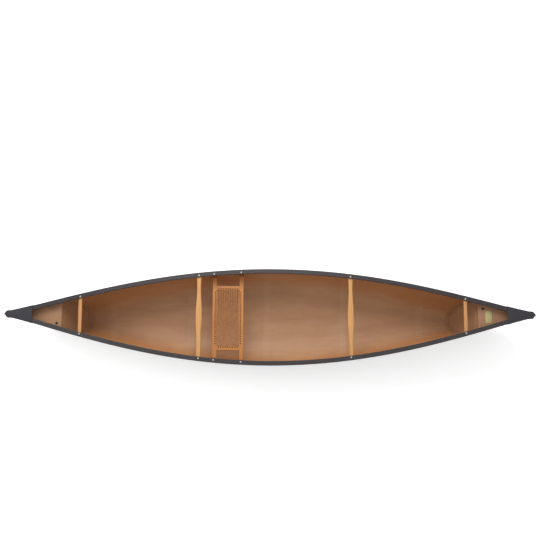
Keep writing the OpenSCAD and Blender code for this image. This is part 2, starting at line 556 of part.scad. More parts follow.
module grab_loop() color([0.80, 0.62, 0.50]) loop_place() cord_sweep(loop_path, loop_d);
module loop_tube() color([0.2, 0.2, 0.2]) translate([loop_x, 0, loop_z]) rotate([90, 0, 0]) difference() {
    cylinder(d = loop_tube_d, h = 2 * (breadth_at(loop_x, loop_z, 0) + 1), center = true, $fn = 32);
    cylinder(d = loop_bore, h = through, center = true, $fn = 32);
}
module bow_loop_tube() loop_tube();
module stern_loop_tube() at_stern() loop_tube();
module bow_loop() grab_loop();
module stern_loop() at_stern() grab_loop();

// Skid plates: thin skins bonded over the forefoot
skid_t = 3;
skid_steps = 3;
skid_from = 10;
skid_stations = [for (i = [skid_from:len(half_stations) - 5]) half_stations[i]];
module skid_plate() color([0.30, 0.27, 0.25])
    skin_shell(skid_stations, skid_steps, gap + skid_t, gap, false);
module bow_skid_plate() skid_plate();
module stern_skid_plate() at_stern() skid_plate();

hull();
port_gunwale();
starboard_gunwale();
port_gunwale_rivets();
starboard_gunwale_rivets();
bow_deck();
stern_deck();
bow_deck_rivets();
stern_deck_rivets();
bow_tank();
stern_tank();
bow_vent_plug();
stern_vent_plug();
bow_thwart();
stern_thwart();
bow_handle();
stern_handle();
thwart_bolts();
thwart_washers();
thwart_nuts();
handle_bolts();
handle_washers();
handle_nuts();
seat_front_rail();
seat_rear_rail();
seat_port_rail();
seat_starboard_rail();
seat_dowels();
seat_cane();
seat_front_port_block();
seat_front_starboard_block();
seat_rear_port_block();
seat_rear_starboard_block();
seat_bolts();
seat_washers();
seat_nuts();
bow_loop_tube();
stern_loop_tube();
bow_loop();
stern_loop();
bow_skid_plate();
stern_skid_plate();
blank_plate();
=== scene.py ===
import bmesh
import bpy
import math
from mathutils import Matrix, Vector


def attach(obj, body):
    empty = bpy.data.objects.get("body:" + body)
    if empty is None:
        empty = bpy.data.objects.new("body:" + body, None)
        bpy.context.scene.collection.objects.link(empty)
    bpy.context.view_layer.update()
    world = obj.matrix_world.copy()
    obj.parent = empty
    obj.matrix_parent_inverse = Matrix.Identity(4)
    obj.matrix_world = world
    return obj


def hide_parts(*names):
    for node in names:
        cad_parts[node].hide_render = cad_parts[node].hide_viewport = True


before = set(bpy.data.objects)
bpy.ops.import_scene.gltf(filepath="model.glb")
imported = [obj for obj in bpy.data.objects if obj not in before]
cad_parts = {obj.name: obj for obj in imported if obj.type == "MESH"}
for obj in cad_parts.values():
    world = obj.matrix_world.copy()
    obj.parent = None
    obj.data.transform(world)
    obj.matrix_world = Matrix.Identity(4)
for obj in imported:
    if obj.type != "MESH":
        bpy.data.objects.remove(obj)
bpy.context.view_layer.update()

# The hull lines, in metres: bow towards +X, port towards +Y, keel amidships at the origin
lines = {
    "halfLength": 2.440, "tipBack": 0.062, "halfBeam": 0.455, "gunwaleTip": 0.026,
    "depth": 0.400, "sheerRise": 0.203, "sheerPower": 1.92, "rocker": 0.057, "planPower": 1.16,
    "stemLength": 0.560, "stemHeight": 0.315, "stemPower": 2.5, "stemInset": 0.024,
    "midPower": 2.8, "endPower": 1.5, "tumblehome": 0.008, "wall": 0.006,
    "wallOut": 0.011, "rimDrop": 0.0043, "turn": 0.72, "bulge": 0.90, "nose": 0.98,
}
tipX = lines["halfLength"] - lines["tipBack"]
forefootX = lines["halfLength"] - lines["stemLength"]
gap = 0.0003


def mix(a, b, t):
    return a + (b - a) * t


def fullness(x):
    return max(0.0, 1 - (x / tipX) ** 2)


def sheerZ(x):
    return lines["depth"] + lines["sheerRise"] * (abs(x) / tipX) ** lines["sheerPower"]


def sheerAngle(x):
    power = lines["sheerPower"]
    slope = lines["sheerRise"] * power * (abs(x) / tipX) ** (power - 1) / tipX
    return math.copysign(math.atan(slope), x)


def planY(x, middle, tip):
    return tip + (middle - tip) * fullness(x) ** lines["planPower"]


def gunwaleY(x):
    return planY(x, lines["halfBeam"], lines["gunwaleTip"])


def keelZ(x):
    return lines["rocker"] * (x / lines["halfLength"]) ** 2


def sectionPower(x):
    return lines["endPower"] + (lines["midPower"] - lines["endPower"]) * fullness(x) ** 0.8


def stemMove(d):
    return d * lines["stemInset"] / lines["wall"] if d < 0 else d


def keelPoint(u, d):
    # Runs along the keel, round the forefoot and up the stem as u goes from 0 to 1
    move = stemMove(d)
    power = 2 / lines["stemPower"]
    if u <= lines["turn"]:
        x = forefootX * u / lines["turn"]
        return x, keelZ(x) - d
    if u <= lines["bulge"]:
        a = math.pi / 2 * (u - lines["turn"]) / (lines["bulge"] - lines["turn"])
        x = forefootX + (lines["stemLength"] + move) * math.sin(a) ** power
        rise = (lines["stemHeight"] + d) * (1 - max(0.0, math.cos(a)) ** power)
        return x, keelZ(x) - d + rise
    t = (u - lines["bulge"]) / (1 - lines["bulge"])
    low = keelZ(lines["halfLength"] + move) + lines["stemHeight"]
    high = sheerZ(tipX) - lines["rimDrop"]
    return lines["halfLength"] + move - lines["tipBack"] * t * t, mix(low, high, t)


def rimPoint(u, d):
    if u <= lines["turn"]:
        x = forefootX * u / lines["turn"]
    else:
        x = mix(forefootX, tipX + stemMove(d), (u - lines["turn"]) / (1 - lines["turn"]))
    return x, sheerZ(x) - lines["rimDrop"]


def halfBreadth(x, h, u, d):
    n = sectionPower(x)
    tip = lines["gunwaleTip"] - lines["wallOut"] + 0.003 + d * 0.8
    full = planY(x, lines["halfBeam"] - lines["wallOut"] + d, tip)
    close = 1.0
    if u > lines["nose"]:
        close = math.sqrt(max(0.0, 1 - ((u - lines["nose"]) / (1 - lines["nose"])) ** 2))
    swell = lines["tumblehome"] * fullness(x) * math.sin(math.pi * h)
    return close * (full * max(0.0, 1 - (1 - h) ** n) ** (1 / n) + swell)


def skinPoint(u, k, d):
    # u runs from stern to bow, k from the starboard rim over the keel to the port rim
    v = abs(u)
    keelX, keelHigh = keelPoint(v, d)
    rimX, rimHigh = rimPoint(v, d)
    h = 1 - max(0.0, math.cos(math.pi / 2 * abs(k))) ** (2 / sectionPower(keelX))
    x = mix(keelX, rimX, h)
    y = halfBreadth(x, h, v, d)
    return Vector((math.copysign(x, u), math.copysign(y, k), mix(keelHigh, rimHigh, h)))


def breadthAt(x, z, d):
    # Half breadth of a skin at a point of the side view, found by halving
    low, high = 0.0, 1.0
    for _ in range(26):
        u = (low + high) / 2
        keel = keelPoint(u, d)
        rim = rimPoint(u, d)
        side = (rim[0] - keel[0]) * (z - keel[1]) - (rim[1] - keel[1]) * (abs(x) - keel[0])
        low, high = (u, high) if side < 0 else (low, u)
    h = (z - keel[1]) / (rim[1] - keel[1])
    return halfBreadth(abs(x), min(1.0, max(0.0, h)), u, d)


def endU(s):
    # Stations from stern to bow, closer together round the stems
    a = abs(2 * s - 1)
    if a < 0.6:
        u = lines["turn"] * a / 0.6
    else:
        u = lines["turn"] + (1 - lines["turn"]) * (1 - (1 - (a - 0.6) / 0.4) ** 1.5)
    return math.copysign(min(1.0, u), 2 * s - 1)


# Mesh helpers

def mappedGrid(bm, across, along, place, material=0, uvScale=(1.0, 1.0)):
    # A grid whose vertices are moved by place(s, t), with s and t from 0 to 1
    made = bmesh.ops.create_grid(bm, x_segments=across, y_segments=along, size=0.5)["verts"]
    uvLayer = bm.loops.layers.uv.verify()
    faces = {f for v in made for f in v.link_faces}
    for f in faces:
        f.material_index = material
        for corner in f.loops:
            at = corner.vert.co
            corner[uvLayer].uv = ((at.x + 0.5) * uvScale[0], (at.y + 0.5) * uvScale[1])
    for v in made:
        v.co = place(v.co.x + 0.5, v.co.y + 0.5)
    return made


def finishPiece(name, bm, materials, body, replaced, merge=0.00002, normals=True):
    bmesh.ops.remove_doubles(bm, verts=bm.verts, dist=merge)
    bmesh.ops.dissolve_degenerate(bm, edges=bm.edges, dist=merge / 4)
    if normals:
        bmesh.ops.recalc_face_normals(bm, faces=bm.faces)
    mesh = bpy.data.meshes.new(name)
    bm.to_mesh(mesh)
    bm.free()
    for m in materials:
        mesh.materials.append(m)
    mesh.shade_smooth()
    piece = bpy.data.objects.new(name, mesh)
    bpy.context.scene.collection.objects.link(piece)
    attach(piece, body)
    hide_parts(*replaced)
    return piece


def sharpByAngle(piece, degrees):
    for edge in piece.data.edges:
        edge.use_edge_sharp = False
    piece.data.set_sharp_from_angle(angle=math.radians(degrees))


def closeHoles(bm):
    edges = [e for e in bm.edges if e.is_boundary]
    bmesh.ops.holes_fill(bm, edges=edges, sides=0)


def arc(cx, cz, r, start, stop, steps):
    angles = [math.radians(mix(start, stop, i / steps)) for i in range(steps + 1)]
    return [(cx + r * math.cos(a), cz + r * math.sin(a)) for a in angles]


def spline(points, steps):
    # A smooth curve through the points
    out = []
    for i in range(len(points) - 1):
        a, b = points[max(0, i - 1)], points[i]
        c, d = points[i + 1], points[min(len(points) - 1, i + 2)]
        for j in range(steps):
            t = j / steps
            out.append(0.5 * ((2 * b) + (c - a) * t + (2 * a - 5 * b + 4 * c - d) * t * t
                              + (3 * b - 3 * c + d - a) * t ** 3))
    out.append(points[-1])
    return out


# Materials: procedural textures on Object coordinates, or on the UV of the gunwales and the cord

def newMaterial(name, colour, roughness, metallic=0.0, coat=0.0, coatRoughness=0.2):
    m = bpy.data.materials.new(name)
    m.use_nodes = True
    nodes, links = m.node_tree.nodes, m.node_tree.links
    shader = nodes["Principled BSDF"]
    shader.inputs["Base Color"].default_value = (*colour, 1)
    shader.inputs["Roughness"].default_value = roughness
    shader.inputs["Metallic"].default_value = metallic
    shader.inputs["Specular IOR Level"].default_value = 0.35
    shader.inputs["Coat Weight"].default_value = coat
    shader.inputs["Coat Roughness"].default_value = coatRoughness
    coords = nodes.new("ShaderNodeTexCoord")
    return m, nodes, links, shader, coords


def mapped(nodes, links, coords, scale, output="Object"):
    mapping = nodes.new("ShaderNodeMapping")
    mapping.inputs["Scale"].default_value = scale
    links.new(coords.outputs[output], mapping.inputs["Vector"])
    return mapping.outputs["Vector"]


def noise(nodes, links, vector, scale, detail=4.0, rough=0.55, distortion=0.0):
    tex = nodes.new("ShaderNodeTexNoise")
    tex.inputs["Scale"].default_value = scale
    tex.inputs["Detail"].default_value = detail
    tex.inputs["Roughness"].default_value = rough
    tex.inputs["Distortion"].default_value = distortion
    links.new(vector, tex.inputs["Vector"])
    return tex.outputs["Fac"]


def ramp(nodes, links, value, stops):
    node = nodes.new("ShaderNodeValToRGB")
    elements = node.color_ramp.elements
    while len(elements) < len(stops):
        elements.new(0.5)
    for element, (at, colour) in zip(elements, stops):
        element.position = at
        element.color = (*colour, 1)
    links.new(value, node.inputs["Fac"])
    return node.outputs["Color"]


def remap(nodes, links, value, low, high, fromLow=0.0, fromHigh=1.0):
    node = nodes.new("ShaderNodeMapRange")
    node.inputs["From Min"].default_value = fromLow
    node.inputs["From Max"].default_value = fromHigh
    node.inputs["To Min"].default_value = low
    node.inputs["To Max"].default_value = high
    links.new(value, node.inputs["Value"])
    return node.outputs["Result"]


def blendColour(nodes, links, factor, a, b):
    node = nodes.new("ShaderNodeMix")
    node.data_type = "RGBA"
    for name, value in (("Factor", factor), ("A", a), ("B", b)):
        socket = [s for s in node.inputs if s.name == name and s.enabled][0]
        if isinstance(value, tuple):
            socket.default_value = (*value, 1)
        else:
            links.new(value, socket)
    return [s for s in node.outputs if s.enabled][0]


def maths(nodes, links, kind, a, b):
    node = nodes.new("ShaderNodeMath")
    node.operation = kind
    for socket, value in zip(node.inputs, (a, b)):
        if isinstance(value, (int, float)):
            socket.default_value = value
        else:
            links.new(value, socket)
    return node.outputs[0]


def bump(nodes, links, shader, height, strength, distance):
    node = nodes.new("ShaderNodeBump")
    node.inputs["Strength"].default_value = strength
    node.inputs["Distance"].default_value = distance
    links.new(height, node.inputs["Height"])
    links.new(node.outputs["Normal"], shader.inputs["Normal"])


def darker(colour, factor):
    return tuple(c * factor for c in colour)


def mouldedPlastic(name, colour, roughness, grain=900.0, depth=0.0002, mottle=0.12, coat=0.0):
    # A grained moulding with faint cloudy colour and rubbed patches
    m, nodes, links, shader, coords = newMaterial(name, colour, roughness, coat=coat)
    vector = mapped(nodes, links, coords, (1, 1, 1))
    cloud = noise(nodes, links, vector, 5.0, 5.0)
    tone = ramp(nodes, links, cloud, [(0.3, darker(colour, 1 - mottle)), (0.7, darker(colour, 1 + mottle))])
    links.new(tone, shader.inputs["Base Color"])
    fine = noise(nodes, links, vector, grain, 2.0)
    rub = noise(nodes, links, vector, 22.0, 4.0)
    rubbed = remap(nodes, links, rub, roughness - 0.07, roughness + 0.09, 0.3, 0.7)
    links.new(rubbed, shader.inputs["Roughness"])
    bump(nodes, links, shader, fine, 0.35, depth)
    return m


def hullOutside():
    # Satin vinyl skin: deep charcoal brown, lengthwise handling scuffs and a fine pebble
    colour = (0.080, 0.063, 0.054)
    m, nodes, links, shader, coords = newMaterial("hullOutside", colour, 0.42, 0.0, 0.12, 0.35)
    vector = mapped(nodes, links, coords, (1, 1, 1))
    cloud = noise(nodes, links, vector, 2.2, 5.0)
    base = ramp(nodes, links, cloud, [(0.3, darker(colour, 0.93)), (0.72, darker(colour, 1.08))])
    scuffs = noise(nodes, links, mapped(nodes, links, coords, (1.1, 60, 46)), 1.0, 7.0, 0.7, 0.4)
    marks = remap(nodes, links, scuffs, 0.0, 1.0, 0.6, 0.72)
    tone = blendColour(nodes, links, maths(nodes, links, "MULTIPLY", marks, 0.4), base, (0.19, 0.17, 0.155))
    links.new(tone, shader.inputs["Base Color"])
    patches = noise(nodes, links, vector, 9.0, 4.0)
    links.new(remap(nodes, links, patches, 0.36, 0.5, 0.3, 0.7), shader.inputs["Roughness"])
    pebble = noise(nodes, links, vector, 700.0, 2.0)
    wave = noise(nodes, links, mapped(nodes, links, coords, (2.5, 8, 8)), 1.0, 2.0)
    height = maths(nodes, links, "ADD", maths(nodes, links, "MULTIPLY", pebble, 0.2), wave)
    bump(nodes, links, shader, height, 0.3, 0.0009)
    return m


def hullInside():
    # Tan inner skin: cloudy, with overlap bands across the boat and a faint woven print
    colour = (0.40, 0.212, 0.108)
    m, nodes, links, shader, coords = newMaterial("hullInside", colour, 0.5)
    vector = mapped(nodes, links, coords, (1, 1, 1))
    cloud = noise(nodes, links, mapped(nodes, links, coords, (1.2, 4.5, 4.5)), 1.6, 6.0, 0.6)
    base = ramp(nodes, links, cloud,
                [(0.28, (0.35, 0.175, 0.086)), (0.5, colour), (0.74, (0.45, 0.26, 0.145))])
    streaks = noise(nodes, links, mapped(nodes, links, coords, (0.9, 26, 26)), 1.0, 5.0, 0.6)
    streaks = remap(nodes, links, streaks, 0.0, 0.22, 0.5, 0.75)
    base = blendColour(nodes, links, streaks, base, (0.36, 0.17, 0.09))
    bands = nodes.new("ShaderNodeTexWave")
    bands.wave_profile = "SAW"
    bands.bands_direction = "X"
    bands.inputs["Scale"].default_value = 0.42
    bands.inputs["Distortion"].default_value = 0.25
    links.new(vector, bands.inputs["Vector"])
    seam = remap(nodes, links, bands.outputs["Fac"], 0.0, 1.0, 0.9, 0.93)
    base = blendColour(nodes, links, maths(nodes, links, "MULTIPLY", seam, 0.14), base, (0.5, 0.34, 0.22))
    facing = nodes.new("ShaderNodeSeparateXYZ")
    links.new(coords.outputs["Normal"], facing.inputs["Vector"])
    # Painted shade: the steep walls are coloured a deeper, redder tan than the floor, standing in for the
    # shade past the turn of the bilge
    paintedWallShade = remap(nodes, links, facing.outputs["Z"], 1.0, 0.0, 0.55, 0.78)
    paintedWallShade = maths(nodes, links, "MULTIPLY", paintedWallShade, 0.55)
    base = blendColour(nodes, links, paintedWallShade, base, (0.40, 0.165, 0.052))
    specks = remap(nodes, links, noise(nodes, links, vector, 70.0, 2.0), 0.0, 0.3, 0.7, 0.8)
    base = blendColour(nodes, links, specks, base, (0.24, 0.12, 0.06))
    links.new(base, shader.inputs["Base Color"])
    links.new(remap(nodes, links, cloud, 0.44, 0.6, 0.3, 0.7), shader.inputs["Roughness"])
    weave = noise(nodes, links, vector, 420.0, 2.0)
    height = maths(nodes, links, "ADD", maths(nodes, links, "MULTIPLY", weave, 0.25), seam)
    bump(nodes, links, shader, height, 0.28, 0.0006)
    return m


def wood(name, pale, deep, grain="Y", coat=0.18):
    # Oiled ash: long open grain along the piece, growth bands and fine pores
    m, nodes, links, shader, coords = newMaterial(name, pale, 0.45, coat=coat, coatRoughness=0.3)
    long = {"X": (1.6, 40, 40), "Y": (40, 1.6, 40), "Z": (40, 40, 1.6)}[grain]
    fine = {"X": (7, 420, 420), "Y": (420, 7, 420), "Z": (420, 420, 7)}[grain]
    bands = noise(nodes, links, mapped(nodes, links, coords, long), 1.0, 5.0, 0.6, 0.8)
    pores = noise(nodes, links, mapped(nodes, links, coords, fine), 1.0, 3.0, 0.6)
    middle = tuple(mix(a, b, 0.4) for a, b in zip(pale, deep))
    tone = ramp(nodes, links, bands, [(0.3, pale), (0.46, middle), (0.52, pale), (0.66, deep)])
    flecks = remap(nodes, links, pores, 0.0, 0.55, 0.55, 0.75)
    tone = blendColour(nodes, links, flecks, tone, darker(deep, 0.6))
    links.new(tone, shader.inputs["Base Color"])
    links.new(remap(nodes, links, pores, 0.38, 0.56, 0.3, 0.7), shader.inputs["Roughness"])
    height = maths(nodes, links, "ADD", maths(nodes, links, "MULTIPLY", bands, 0.5), pores)
    bump(nodes, links, shader, height, 0.25, 0.0004)
    return m


def metal(name, colour, roughness):
    m, nodes, links, shader, coords = newMaterial(name, colour, roughness, metallic=1.0)
    vector = mapped(nodes, links, coords, (1, 1, 1))
    tarnish = noise(nodes, links, vector, 160.0, 4.0)
    tone = ramp(nodes, links, tarnish, [(0.35, darker(colour, 0.8)), (0.65, colour)])
    links.new(tone, shader.inputs["Base Color"])
    dulled = remap(nodes, links, tarnish, roughness - 0.08, roughness + 0.12, 0.3, 0.7)
    links.new(dulled, shader.inputs["Roughness"])
    bump(nodes, links, shader, noise(nodes, links, vector, 1400.0, 2.0), 0.2, 0.0001)
    return m


def ridgedVinyl():
    # Gunwale: dark satin vinyl with drawn lines along its length
    colour = (0.029, 0.0235, 0.026)
    m, nodes, links, shader, coords = newMaterial("gunwaleVinyl", colour, 0.4, coat=0.08)
    drawn = noise(nodes, links, mapped(nodes, links, coords, (3, 260, 1), "UV"), 1.0, 3.0, 0.6)
    cloud = noise(nodes, links, mapped(nodes, links, coords, (1, 1, 1)), 7.0, 4.0)
    tone = ramp(nodes, links, drawn, [(0.3, darker(colour, 0.72)), (0.7, darker(colour, 1.35))])
    faded = remap(nodes, links, cloud, 0.0, 0.35, 0.4, 0.8)
    tone = blendColour(nodes, links, faded, tone, (0.046, 0.038, 0.038))
    links.new(tone, shader.inputs["Base Color"])
    links.new(remap(nodes, links, cloud, 0.33, 0.48, 0.3, 0.7), shader.inputs["Roughness"])
    bump(nodes, links, shader, drawn, 0.3, 0.0004)
    return m


def caneFinish():
    # Split cane: honey coloured, darker in places, with a fine fibre
    m, nodes, links, shader, coords = newMaterial("caneStrand", (0.42, 0.19, 0.07), 0.45, coat=0.1)
    along = noise(nodes, links, mapped(nodes, links, coords, (60, 60, 60)), 1.0, 4.0)
    tone = ramp(nodes, links, along,
                [(0.3, (0.29, 0.105, 0.030)), (0.52, (0.43, 0.175, 0.055)), (0.75, (0.55, 0.25, 0.085))])
    links.new(tone, shader.inputs["Base Color"])
    fibre = noise(nodes, links, mapped(nodes, links, coords, (500, 500, 500)), 1.0, 2.0)
    bump(nodes, links, shader, fibre, 0.25, 0.0002)
    return m


def cordFinish():
    # Braided cord: two sets of turning strands on the piece's own UV
    colour = (0.62, 0.43, 0.33)
    m, nodes, links, shader, coords = newMaterial("loopCordBraid", colour, 0.75)
    strands = []
    for turn in (1, -1):
        wave = nodes.new("ShaderNodeTexWave")
        wave.bands_direction = "DIAGONAL"
        wave.inputs["Scale"].default_value = 1.0
        links.new(mapped(nodes, links, coords, (7.0, 7.0 * turn, 0), "UV"), wave.inputs["Vector"])
        strands.append(wave.outputs["Fac"])
    height = maths(nodes, links, "MAXIMUM", *strands)
    # Painted shade: the low ground between the braid's strands is coloured darker
    tone = ramp(nodes, links, height, [(0.4, darker(colour, 0.45)), (0.9, colour)])
    links.new(tone, shader.inputs["Base Color"])
    shader.inputs["Sheen Weight"].default_value = 0.3
    bump(nodes, links, shader, height, 0.6, 0.0005)
    return m


finishes = {
    "outside": hullOutside(),
    "inside": hullInside(),
    "gunwale": ridgedVinyl(),
    "deck": mouldedPlastic("deckPlastic", (0.027, 0.025, 0.032), 0.52, 620.0, 0.0005),
    "tank": mouldedPlastic("tankPlastic", (0.335, 0.178, 0.092), 0.5, 520.0, 0.0002, 0.1),
    "skid": mouldedPlastic("skidLaminate", (0.073, 0.057, 0.049), 0.5, 300.0, 0.0006),
    "plug": mouldedPlastic("plugRubber", (0.012, 0.012, 0.014), 0.5, 800.0),
    "plate": mouldedPlastic("plateFilm", (0.42, 0.37, 0.17), 0.4, 900.0, 0.0001, 0.06),
    "thwart": wood("ashThwart", (0.60, 0.315, 0.112), (0.42, 0.185, 0.052)),
    "handle": wood("ashHandle", (0.54, 0.262, 0.098), (0.38, 0.160, 0.048)),
    "rail": wood("seatRailWood", (0.54, 0.215, 0.058), (0.36, 0.118, 0.026)),
    "crossRail": wood("seatCrossRailWood", (0.54, 0.215, 0.058), (0.36, 0.118, 0.026), "X"),
    "block": wood("blockWood", (0.17, 0.052, 0.012), (0.10, 0.03, 0.007), "Z"),
    "cane": caneFinish(),
    # Painted shade: near-black discs laid over the cane holes stand in for their shadowed openings
    "paintedHoleShade": mouldedPlastic("paintedHoleShadow", (0.022, 0.009, 0.004), 0.8, 800.0),
    "steel": metal("boltSteel", (0.74, 0.71, 0.67), 0.32),
    "rivet": metal("rivetAlloy", (0.80, 0.77, 0.74), 0.38),
    "tube": mouldedPlastic("tubePlastic", (0.03, 0.03, 0.034), 0.45),
    "cord": cordFinish(),
}


def wearFinish(material, *nodeNames):
    for name in nodeNames:
        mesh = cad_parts[name].data
        mesh.materials.clear()
        mesh.materials.append(material)


print("materials made")

# Hull
hullGrid = {"along": 260, "across": 88}


def makeHull():
    bm = bmesh.new()
    for d, material in ((0.0, 0), (-lines["wall"], 1)):
        mappedGrid(bm, hullGrid["along"], hullGrid["across"],
                   lambda s, t: skinPoint(endU(s), 2 * t - 1, d), material)
    bmesh.ops.remove_doubles(bm, verts=bm.verts, dist=0.00002)
    rims = [e for e in bm.edges if e.is_boundary]
    made = bmesh.ops.bridge_loops(bm, edges=rims)["faces"]
    for f in made:
        f.material_index = 1
    finishPiece("hullShell", bm, [finishes["outside"], finishes["inside"]], "canoe",
                ["hull"])


makeHull()
print("hull made")

# Gunwales
gunwale = {
    "width": 0.043, "leg": 0.030, "skin": 0.003, "top": 0.004, "lip": 0.014, "legTurn": 0.004,
    "corner": 0.005, "lipRound": 0.00125, "legRound": 0.0015, "webFrom": 0.0008, "webTo": 0.0035,
    "ridges": 5, "ridgeSteps": 6, "ridgeDepth": 0.0007, "end": tipX - 0.092, "stations": 150,
    "uvScale": (4.65, 0.25),
}


def gunwaleProfile():
    # From the outer leg over the ridged top to the inner lip, then back along the underside
    w, leg, skin, top, lip = (gunwale[k] for k in ("width", "leg", "skin", "top", "lip"))
    r, lipRound, legRound = (gunwale[k] for k in ("corner", "lipRound", "legRound"))
    wall, inner = lines["wallOut"], lines["wallOut"] + lines["wall"]
    webNear, webFar = inner + gunwale["webFrom"], inner + gunwale["webTo"]
    turnedIn = wall - gunwale["legTurn"]
    steps = gunwale["ridges"] * gunwale["ridgeSteps"]
    crown = []
    for i in range(1, steps):
        groove = 0.5 - 0.5 * math.cos(2 * math.pi * i * gunwale["ridges"] / steps)
        crown.append((mix(r, w - r, i / steps), -gunwale["ridgeDepth"] * groove))
    over = [(legRound, -leg), (0.0, -leg + legRound)] + arc(r, -r, r, 180, 90, 5) + crown
    over += arc(w - r, -r, r, 90, 0, 5) + arc(w - lipRound, -lip, lipRound, 0, -180, 4)
    under = [(w - 2 * lipRound, -top), (webFar, -top), (webFar, -lip), (webNear, -lip), (webNear, -top)]
    under += [(skin, -top), (skin, -leg + skin), (turnedIn, -leg + skin), (turnedIn, -leg)]
    return over + under


def makeGunwale(name, side):
    profile = gunwaleProfile()
    profile.append(profile[0])
    count = len(profile) - 1
    bm = bmesh.new()

    def place(s, t):
        x = gunwale["end"] * (2 * s - 1)
        a, c = profile[round(t * count)]
        return Vector((x, side * (gunwaleY(x) - a), sheerZ(x) + c))

    mappedGrid(bm, gunwale["stations"], count, place, 0, gunwale["uvScale"])
    bmesh.ops.remove_doubles(bm, verts=bm.verts, dist=0.00002)
    closeHoles(bm)
    piece = finishPiece(name + "Rail", bm, [finishes["gunwale"]], "canoe", [name])
    sharpByAngle(piece, 40)


makeGunwale("port_gunwale", 1)
makeGunwale("starboard_gunwale", -1)
print("gunwales made")

# Decks
deck = {
    "reach": 0.274, "skirt": 0.041, "sheet": 0.0024, "noseForward": 0.024, "noseRadius": 0.034,
    "cover": 0.0033, "edge": 0.006, "crown": 0.004, "crownFade": 0.03, "bead": 0.0016,
    "noseFrom": 0.55, "topTo": 0.45, "roundTo": 0.7, "beadAt": 0.38, "beadWide": 0.03,
}
deckX = lines["halfLength"] - deck["reach"]
deckNoseX = tipX + deck["noseForward"]
deckTurnX = deckNoseX - deck["noseRadius"]
deckSlope = math.atan((sheerZ(deckNoseX) - sheerZ(deckX)) / (deckNoseX - deckX))


def deckHalf(x):
    if x <= deckTurnX:
        return max(gunwaleY(x) + deck["cover"] + gap, deck["noseRadius"])
    return math.sqrt(max(0.0, deck["noseRadius"] ** 2 - (x - deckTurnX) ** 2))


def makeDeck(name, end):
    bm = bmesh.new()
    noseFrom, topTo, roundTo = deck["noseFrom"], deck["topTo"], deck["roundTo"]

    def place(s, t):
        # s runs forward to the nose; q runs from the middle line over the edge to the skirt's foot
        if s < noseFrom:
            x = mix(deckX, deckTurnX, s / noseFrom)
        else:
            x = deckTurnX + deck["noseRadius"] * math.sin(math.pi / 2 * (s - noseFrom) / (1 - noseFrom))
        half = deckHalf(x)
        edge = min(deck["edge"], half * 0.5)
        q = abs(2 * t - 1)
        if q > roundTo:
            y, c = half, mix(deck["cover"] - edge, -deck["skirt"], (q - roundTo) / (1 - roundTo))
        elif q > topTo:
            a = math.pi / 2 * (roundTo - q) / (roundTo - topTo)
            y, c = half - edge * (1 - math.cos(a)), deck["cover"] - edge * (1 - math.sin(a))
        else:
            y, c = (half - edge) * q / topTo, deck["cover"]
        ease = 1 - math.exp(-(deckNoseX - x) / deck["crownFade"])
        crown = deck["crown"] * ease * (1 - (y / max(half, 1e-6)) ** 2) if q <= roundTo else 0.0
        # A shallow groove sets a bead off along the edge
        crown -= deck["bead"] * math.exp(-((q - deck["beadAt"]) / deck["beadWide"]) ** 2)
        z = sheerZ(deckX) + (x - deckX) * math.tan(deckSlope) + (c - deck["cover"]) / math.cos(deckSlope)
        z += deck["cover"] + crown * 0.6 - deck["crown"] * 0.15
        return Vector((end * x, end * math.copysign(y, 2 * t - 1) if q else 0.0, z))

    mappedGrid(bm, 60, 120, place)
    piece = finishPiece(name + "Cap", bm, [finishes["deck"]], "canoe", [name])
    # The sheet is open below, so its top has to be the outside before it gets a thickness
    if piece.data.polygons[len(piece.data.polygons) // 2].normal.z < 0:
        piece.data.flip_normals()
    shell = piece.modifiers.new("shell", "SOLIDIFY")
    shell.thickness = deck["sheet"]
    shell.offset = -1


makeDeck("bow_deck", 1)
makeDeck("stern_deck", -1)
print("decks made")

# Float tanks
tank = {
    "reach": 0.500, "tail": 0.075, "lidDrop": 0.066, "rake": 19.0, "lift": 6.0, "kneeRadius": 0.014,
    "foot": 0.150, "footClear": 0.0005, "sideClear": 0.0004, "bead": 0.005, "across": 24,
    "lidSteps": 10, "kneeSteps": 8, "faceSteps": 40, "faceEase": 1.8,
    "flangeReach": 0.86, "flangeWide": 0.024, "flangeThick": 0.0018, "flangeSteps": 40,
}
kneeX = lines["halfLength"] - tank["reach"]
kneeZ = sheerZ(kneeX) - tank["lidDrop"]
tankEndX = tipX - tank["tail"]
footZ = keelZ(kneeX - tank["foot"]) + lines["wall"] + tank["footClear"]
tankRake = math.tan(math.radians(tank["rake"]))


def lidZ(x):
    return kneeZ + (x - kneeX) * math.tan(math.radians(tank["lift"]))


def faceX(z):
    return kneeX - tank["kneeRadius"] - (kneeZ - tank["kneeRadius"] - z) * tankRake


def tankPath():
    # The side view of a moulding: along the lid, round the knee and down the face
    r, lidSteps, faceSteps = tank["kneeRadius"], tank["lidSteps"], tank["faceSteps"]
    lidXs = [mix(tankEndX, kneeX, i / lidSteps) for i in range(lidSteps + 1)]
    knee = arc(kneeX, kneeZ - r, r, 90, 180, tank["kneeSteps"])[1:]
    face = []
    for i in range(1, faceSteps + 1):
        z = mix(kneeZ - r, footZ, 1 - (1 - i / faceSteps) ** tank["faceEase"])
        face.append((faceX(z), z))
    return [(x, lidZ(x)) for x in lidXs] + knee + face


def footU(k):
    # The station where the face meets the floor at k, found by halving
    low, high = 0.3, 1.0
    for _ in range(22):
        u = (low + high) / 2
        p = skinPoint(u, k, -lines["wall"])
        low, high = (u, high) if p.x < faceX(p.z) else (low, u)
    return low


